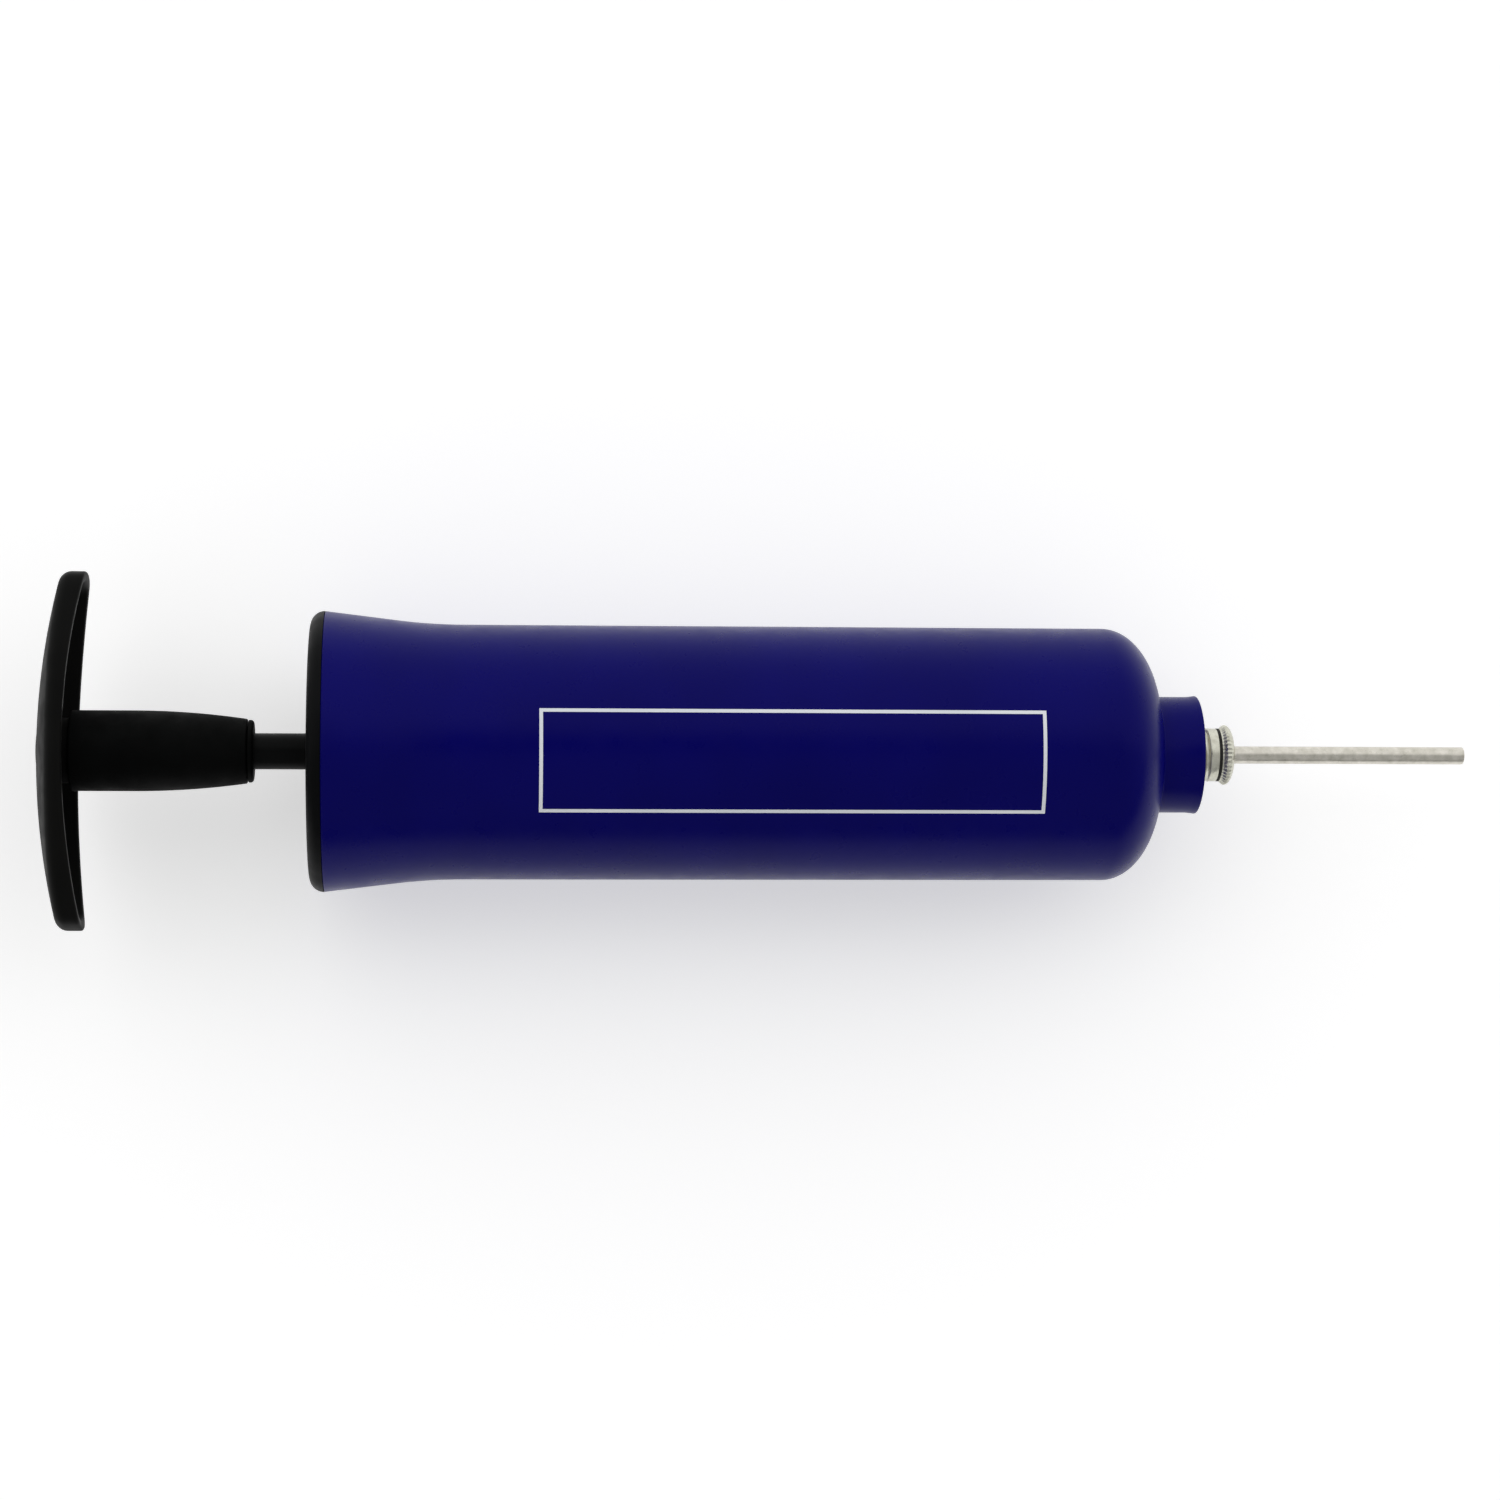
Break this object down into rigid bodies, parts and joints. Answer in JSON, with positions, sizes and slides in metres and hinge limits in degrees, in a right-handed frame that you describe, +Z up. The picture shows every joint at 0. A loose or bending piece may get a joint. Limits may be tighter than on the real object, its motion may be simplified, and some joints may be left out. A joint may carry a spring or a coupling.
{
  "type": "ball inflation pump",
  "caption": "Hand pump for inflating balls: flared barrel with a domed end and screw-in needle, end cap, and a rod plunger with a grip sleeve and a curved T-handle.",
  "frame": {"origin": "on the pump's axis, at the middle of the barrel's straight part", "axes": "+X along the pump's axis towards the needle tip, +Y along the T-bar, +Z up with the pump lying on its side"},
  "size_m": [0.2034, 0.0506, 0.0396],
  "materials": {
    "barrel_blue": "satin",
    "cap_black": "satin",
    "handle_black": "satin",
    "sleeve_black": "matt",
    "rod_black": "satin",
    "insert_brass": "nickel plated",
    "seal_rubber": "matt",
    "ball_rubber": "matt",
    "piston_plastic": "matt",
    "screw_steel": "bright",
    "needle_nickel": "nickel plated, knurled",
    "tube_nickel": "nickel plated",
    "print_white": "printed ink"
  },
  "bodies": {
    "barrel": {"barrel": "barrel_blue", "end_cap": "cap_black", "outlet_insert": "insert_brass", "needle_gasket": "seal_rubber", "valve_seat": "seal_rubber", "valve_plug": "piston_plastic", "valve_spring": "screw_steel"},
    "piston_seal": {"piston_ring": "seal_rubber"},
    "plunger": {"piston_rod": "rod_black", "piston_back": "piston_plastic", "piston_front": "piston_plastic", "piston_screw": "screw_steel", "rod_stop": "seal_rubber", "handle_bar": "handle_black", "grip_sleeve": "sleeve_black", "sleeve_ferrule": "sleeve_black", "handle_screw": "screw_steel", "screw_plug": "handle_black"},
    "needle_carrier": {"needle_ring": "seal_rubber"},
    "needle": {"needle_base": "needle_nickel", "needle_tube": "tube_nickel"},
    "valve": {"valve_ball": "ball_rubber"}
  },
  "joints": [
    {"name": "plunger_slide", "type": "slide", "parent": "barrel", "child": "piston_seal", "axis": [-1, 0, 0], "range_m": [-0.0078, 0.0705]},
    {"name": "plunger_spin", "type": "hinge", "parent": "piston_seal", "child": "plunger", "pos_m": [0, 0, 0], "axis": [1, 0, 0], "continuous": true},
    {"name": "needle_advance", "type": "slide", "parent": "barrel", "child": "needle_carrier", "axis": [1, 0, 0], "range_m": [0, 0.00556]},
    {"name": "needle_turn", "type": "hinge", "parent": "needle_carrier", "child": "needle", "pos_m": [0.06, 0, 0], "axis": [1, 0, 0], "range_deg": [0, 2520]},
    {"name": "valve_lift", "type": "slide", "parent": "barrel", "child": "valve", "axis": [1, 0, 0], "range_m": [0, 0.0008], "stiffness_N_per_m": 100, "springref_m": -0.001, "deforming": ["valve_spring"]}
  ],
  "couplings": [
    {"joint": "needle_turn", "follows": "needle_advance", "rad_per_m": 7915.8}
  ]
}
